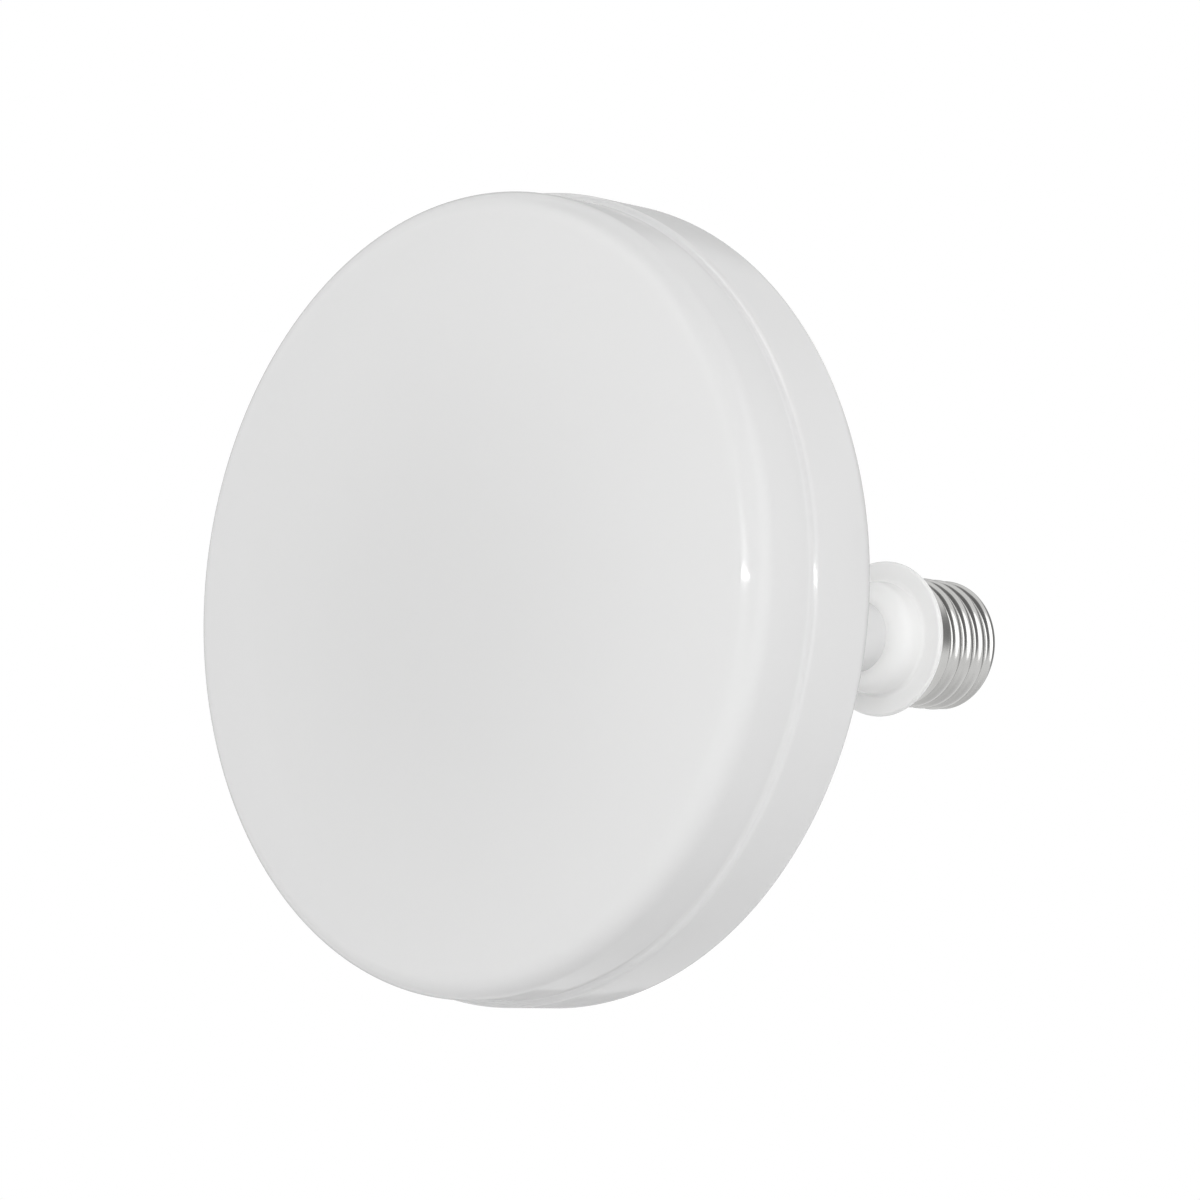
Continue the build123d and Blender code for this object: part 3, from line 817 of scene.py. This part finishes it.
head_outside = screw_high.x
head_inside = head_outside - screw_head_height
for side, name in ((1, "hinge_screw_right"), (-1, "hinge_screw_left")):
    rings = [
        screw_ring(screw_shank_radius - screw_chamfer, screw_shank_end, side),
        screw_ring(screw_shank_radius, screw_shank_end + screw_chamfer, side),
        screw_ring(screw_shank_radius, head_inside, side),
        screw_ring(screw_head_radius - screw_chamfer, head_inside, side),
        screw_ring(screw_head_radius, head_inside + screw_chamfer, side),
        screw_ring(screw_head_radius, head_outside - screw_dome, side),
        *(screw_ring(screw_head_radius * width, head_outside - screw_dome * drop, side)
          for width, drop in screw_dome_shape),
        screw_ring(screw_socket + screw_chamfer / 2, head_outside, side, socket=True),
        screw_ring(screw_socket, head_outside - screw_chamfer / 2, side, socket=True),
        screw_ring(screw_socket, head_outside - screw_socket_depth, side, socket=True),
    ]
    corners = [corner for ring in rings for corner in ring]
    faces = round_rings(len(rings), screw_steps, False)
    faces.append(tuple(range(screw_steps)))
    faces.append(tuple(range(len(corners) - screw_steps, len(corners))))
    hinge_screw = new_piece(name, corners, faces)
    hinge_screw.data.set_sharp_from_angle(angle=screw_crease)
    if side == 1:
        zinc, zinc_tree, zinc_shader = new_finish("zinc_steel")
        zinc_shader.inputs["Metallic"].default_value = 1.0
        zinc_lines = place_group(zinc_tree, drawn_lines, Line_Density=900.0, Cloud_Density=900.0)
        colour_between(zinc_tree, zinc_lines.outputs["Clouds"], zinc_dull, zinc_bright,
                       zinc_shader.inputs["Base Color"])
        value_between(zinc_tree, zinc_lines.outputs["Clouds"], zinc_roughness,
                      zinc_shader.inputs["Roughness"])
        relief(zinc_tree, zinc_lines.outputs["Lines"], zinc_relief, zinc_shader)
        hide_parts("hinge_screws")
    hinge_screw.data.materials.append(zinc)
    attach(hinge_screw, "cap_and_neck")


# Hinge nuts, and the screws inside the head
# Plain zinc-plated steel: the two nuts in the tongue's cheeks, the four screws that hold the turret
# and the three that hold the light-emitting board.
for fastener in ("hinge_nuts", "turret_screws", "board_screws"):
    dress(fastener, zinc)


# Hinge washers
# Two friction washers, cut from a pale slippery plastic sheet. Each lies between an ear and the
# tongue, and the pivot screw holds it in place.
washer_light = (0.62, 0.61, 0.56, 1)
washer_dim = (0.56, 0.55, 0.50, 1)
washer_roughness = (0.35, 0.5)
washer_grain = 0.00002
washer_plastic = moulded_plastic(
    "washer_plastic", washer_light, washer_dim, washer_roughness, washer_grain, Grain_Density=1500.0)
dress("hinge_washers", washer_plastic)


# Hinge turret
# The hub behind the dish that carries the two ears, moulded in the housing's white plastic. Its
# spigot goes through the dish, and four screws hold it from inside.
dress("hinge_turret", housing_plastic)


# Lead grommet
# The bush in the turret's top that the lead comes through, moulded in soft light grey rubber. Its
# flange lies on the turret, and it is pushed into the hole.
rubber_light = (0.46, 0.46, 0.46, 1)
rubber_dim = (0.40, 0.40, 0.40, 1)
rubber_roughness = (0.55, 0.75)
rubber_grain = 0.00004
rubber = moulded_plastic(
    "grommet_rubber", rubber_light, rubber_dim, rubber_roughness, rubber_grain, Grain_Density=1400.0)
dress("lead_grommet", rubber)


# Driver
# A round glass-fibre board with its main components: two electrolytic cans, a wound core, a bridge,
# a switching chip and a fusible resistor. It lies in the turret's spigot.
board_green_light = (0.05, 0.22, 0.10, 1)
board_green_dim = (0.03, 0.15, 0.07, 1)
can_light = (0.045, 0.045, 0.05, 1)
can_dim = (0.02, 0.02, 0.025, 1)
ferrite_light = (0.09, 0.085, 0.085, 1)
ferrite_dim = (0.05, 0.048, 0.048, 1)
resistor_light = (0.11, 0.22, 0.16, 1)
resistor_dim = (0.08, 0.17, 0.12, 1)
driver_grain = 0.00002
driver_finishes = (
    ("board_green", board_green_light, board_green_dim, (0.3, 0.45), 2600.0, ("driver_board",)),
    ("can_black", can_light, can_dim, (0.3, 0.4), 900.0, ("capacitors",)),
    ("ferrite", ferrite_light, ferrite_dim, (0.5, 0.7), 1600.0, ("transformer",)),
    ("case_black", can_light, can_dim, (0.4, 0.6), 2200.0, ("rectifier", "driver_chip")),
    ("resistor_body", resistor_light, resistor_dim, (0.35, 0.5), 1200.0, ("fuse_resistor",)),
)
for name, light, dim, roughness, density, members in driver_finishes:
    finish = moulded_plastic(name, light, dim, roughness, driver_grain, Grain_Density=density)
    for member in members:
        dress(member, finish)


# Heat sink
# The aluminium plate that carries the light-emitting board and takes its heat to the housing, cut
# from rolled sheet.
aluminium_bright = (0.72, 0.72, 0.73, 1)
aluminium_dull = (0.58, 0.58, 0.59, 1)
aluminium_roughness = (0.3, 0.5)
aluminium_relief = (0.00002, 0.3)
aluminium, aluminium_tree, aluminium_shader = new_finish("sink_aluminium")
aluminium_shader.inputs["Metallic"].default_value = 1.0
aluminium_lines = place_group(aluminium_tree, drawn_lines, Line_Density=600.0, Cloud_Density=90.0)
colour_between(aluminium_tree, aluminium_lines.outputs["Clouds"], aluminium_dull, aluminium_bright,
               aluminium_shader.inputs["Base Color"])
value_between(aluminium_tree, aluminium_lines.outputs["Lines"], aluminium_roughness,
              aluminium_shader.inputs["Roughness"])
relief(aluminium_tree, aluminium_lines.outputs["Lines"], aluminium_relief, aluminium_shader)
dress("heat_sink", aluminium)


# Light-emitting board and chips
# The board is aluminium with a white solder mask, and each chip is a small white case filled with
# yellow phosphor.
mask_light = (0.82, 0.82, 0.81, 1)
mask_dim = (0.77, 0.77, 0.76, 1)
phosphor_light = (0.80, 0.62, 0.14, 1)
phosphor_dim = (0.72, 0.52, 0.10, 1)
mask_roughness = (0.3, 0.45)
mask_grain = 0.00001
for name, light, dim, density, member in (
        ("board_white", mask_light, mask_dim, 1800.0, "led_board"),
        ("chip_yellow", phosphor_light, phosphor_dim, 2500.0, "led_chips")):
    finish = moulded_plastic(name, light, dim, mask_roughness, mask_grain, Grain_Density=density)
    dress(member, finish)


# Rear housing
# The white moulded dish: a side wall with a rounded lip in front and a shallow cone behind. Inside are
# bosses for the board's screws, and the seat has holes for the turret's screws.
housing_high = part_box("rear_housing")[1]
lip_radius = housing_high.x
seat_station = housing_high.y
wall_inside = 0.0718
lip_round = 0.0011
rear_round = 0.003
wall_depth = 0.0153
dish_rim = lip_station + wall_depth
seat_radius = 0.032
seat_thickness = 0.0025
turret_hole = 0.022
ledge_radius = 0.069
ledge_depth = 0.007
ledge_station = lip_station + ledge_depth
housing_wall = 0.002
boss_circle = 0.05
boss_radius = 0.0032
boss_hole = 0.0015
boss_hole_depth = 0.006
boss_reach = 0.0178
boss_end = lip_station + boss_reach
screw_circle = 0.02675
screw_hole = 0.00175
hole_margin = 0.001
hole_steps = 48
housing = turned_piece("moulded_housing", rounded((
    (wall_inside, lip_station, 0),
    (lip_radius, lip_station, lip_round),
    (lip_radius, dish_rim, rear_round),
    (seat_radius, seat_station, 0),
    (turret_hole, seat_station, 0),
    (turret_hole, seat_station - seat_thickness, 0),
    (seat_radius, seat_station - seat_thickness, 0),
    (ledge_radius, dish_rim - housing_wall, 0),
    (ledge_radius, ledge_station, 0),
    (wall_inside, ledge_station, 0),
)))


def post(radius, start, end, circle, turn):
    """A plain round bar along the lamp's axis at a place on a circle round it."""
    outline = [(0, start), (radius, start), (radius, end), (0, end)]
    return turned_piece("post", outline, hole_steps, circle * math.cos(turn), circle * math.sin(turn))


def work_with(piece, operation, tools):
    """Joins tools to a piece or cuts them out of it, and puts the tools away."""
    for tool in tools:
        step = piece.modifiers.new(operation, "BOOLEAN")
        step.operation = operation
        step.solver = "EXACT"
        step.object = tool
    bpy.context.view_layer.update()
    shaped = piece.evaluated_get(bpy.context.evaluated_depsgraph_get())
    piece.data = bpy.data.meshes.new_from_object(shaped)
    piece.modifiers.clear()
    for tool in tools:
        bpy.data.objects.remove(tool)


boss_turns = [math.radians(angle) for angle in (90, 210, 330)]
screw_turns = [math.radians(angle) for angle in (45, 135, 225, 315)]
work_with(housing, "UNION", [
    post(boss_radius, ledge_station, boss_end, boss_circle, turn) for turn in boss_turns])
boss_holes = [
    post(boss_hole, ledge_station - hole_margin, ledge_station + boss_hole_depth, boss_circle, turn)
    for turn in boss_turns]
screw_hole_start = seat_station - seat_thickness - hole_margin
screw_holes = [
    post(screw_hole, screw_hole_start, seat_station + hole_margin, screw_circle, turn)
    for turn in screw_turns]
work_with(housing, "DIFFERENCE", boss_holes + screw_holes)
for polygon in housing.data.polygons:
    polygon.use_smooth = True
housing.data.set_sharp_from_angle(angle=crisp_edge)
housing.data.materials.clear()
housing.data.materials.append(housing_plastic)
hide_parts("rear_housing")
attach(housing, "head")

# The tube in front that gives the lip its bright dot, and the lamp above that gives it a thin bright
# line. Both show only in the gloss.
lip_tube = area_lamp("lip_tube", place=(44, 4.2), size=(2.1, 0.055), power=9.6, roll=-2.2)
lip_overhead = area_lamp("lip_overhead", place=(25, 55), size=(1.7, 0.9), power=10.0)
for lamp in (lip_tube, lip_overhead):
    lamp.visible_diffuse = False
    light_only(lamp, housing)


# Diffuser
# The opal front cover: a thin crowned disc of milky plastic with a rounded shoulder and a short
# wall. Its skirt snaps inside the housing's wall, and it seats on the lip.
lip_step = 0.0011
cover_radius = lip_radius - lip_step
cover_wall = 0.0018
cover_draft = math.radians(1)
shoulder_height = 0.0127
shoulder = lip_station - shoulder_height
shoulder_round = 0.0048
crown = 0.0053
foot_round = 0.0011
foot_steps = 12
cover_skirt = 0.0715
cover_skirt_depth = 0.0055
cover_skirt_end = lip_station + cover_skirt_depth
face_steps = 48
shoulder_steps = 24
opal_light = (0.755, 0.755, 0.755, 1)
opal_dim = (0.745, 0.745, 0.745, 1)
opal_roughness = (0.05, 0.08)
opal_grain = 0.000002
opal_ior = 1.5


def crowned(rim_radius, shoulder_station, rounding):
    """Half the outline of a crowned cup: from the axis over the rounded shoulder to its wall."""
    edge = rim_radius - (lip_station - shoulder_station) * math.tan(cover_draft)
    face_radius = (edge**2 + crown**2) / (2 * crown)
    face_centre = Vector((0, shoulder_station - crown + face_radius))
    along = Vector((math.sin(cover_draft), math.cos(cover_draft)))
    inward = Vector((-math.cos(cover_draft), math.sin(cover_draft)))
    start = Vector((edge, shoulder_station)) + inward * rounding - face_centre
    reach = start.dot(along)
    slide = -reach - math.sqrt(reach**2 - start.dot(start) + (face_radius - rounding)**2)
    centre = start + along * slide
    lean = math.atan2(centre.x, -centre.y)
    outline = []
    for step in range(face_steps):
        tilt = lean * step / face_steps
        outline.append(face_centre + Vector((math.sin(tilt), -math.cos(tilt))) * face_radius)
    for step in range(shoulder_steps + 1):
        tilt = lean + (math.pi / 2 - cover_draft - lean) * step / shoulder_steps
        outline.append(face_centre + centre + Vector((math.sin(tilt), -math.cos(tilt))) * rounding)
    return outline


def foot():
    """The small fillet that runs from the cover's wall on to the round of the lip."""
    bead = Vector((cover_radius, lip_station + lip_round))
    drop = math.sqrt(lip_round**2 + 2 * lip_round * foot_round)
    centre = bead + Vector((foot_round, -drop))
    last = math.atan2(drop, foot_round)
    outline = []
    for step in range(foot_steps + 1):
        turn = math.pi - last * step / foot_steps
        outline.append(centre + Vector((math.cos(turn), math.sin(turn))) * foot_round)
    return outline


outside = crowned(cover_radius, shoulder, shoulder_round)
inside = crowned(cover_radius - cover_wall, shoulder + cover_wall, shoulder_round - cover_wall)
cover = turned_piece("opal_cover", outside + foot() + [
    (cover_radius, lip_station),
    (cover_skirt, lip_station),
    (cover_skirt, cover_skirt_end),
    (cover_skirt - cover_wall, cover_skirt_end),
    (cover_skirt - cover_wall, lip_station - cover_wall),
    (cover_radius - cover_wall * (1 + math.tan(cover_draft)), lip_station - cover_wall),
] + inside[::-1])
opal = moulded_plastic(
    "opal_cover", opal_light, opal_dim, opal_roughness, opal_grain, Grain_Density=1300.0,
    Speck_Density=60.0, Speck_Share=0.03)
opal.node_tree.nodes["Principled BSDF"].inputs["IOR"].default_value = opal_ior
cover.data.materials.append(opal)
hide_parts("diffuser")
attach(cover, "head")
